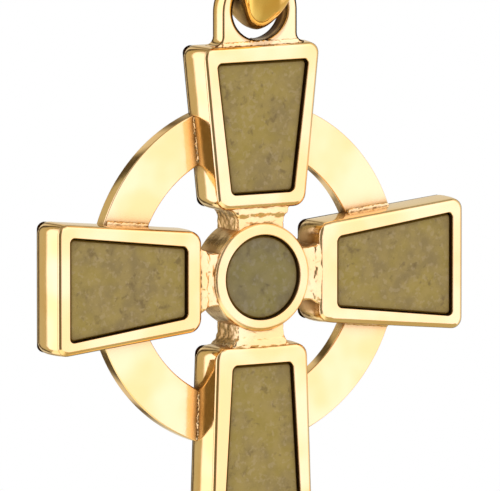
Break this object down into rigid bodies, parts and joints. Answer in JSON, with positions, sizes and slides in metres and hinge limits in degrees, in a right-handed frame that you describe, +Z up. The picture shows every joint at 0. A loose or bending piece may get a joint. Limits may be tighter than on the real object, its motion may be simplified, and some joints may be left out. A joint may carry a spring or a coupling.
{
  "type": "celtic cross pendant",
  "caption": "Flat metal cross pendant with a ring behind its flared arms, inlaid stone panels and a folded bail.",
  "frame": {"origin": "hang point: inside of the bail's top, where a chain bears", "axes": "+X right as seen from the front, +Z up along the pendant's length, the front faces -Y"},
  "size_m": [0.0164, 0.0034, 0.0276],
  "materials": {
    "gold": "polished yellow gold",
    "stone": "satin mottled olive-brown stone"
  },
  "bodies": {
    "bail": {"bail": "gold"},
    "cross": {"cross_frame": "gold", "stone_top": "stone", "stone_left": "stone", "stone_bottom": "stone", "stone_right": "stone", "stone_centre": "stone"}
  },
  "joints": [
    {"name": "eye_swing", "type": "hinge", "parent": "bail", "child": "cross", "pos_m": [0, 0, -0.00399], "axis": [1, 0, 0], "range_deg": [-50, 50]}
  ]
}
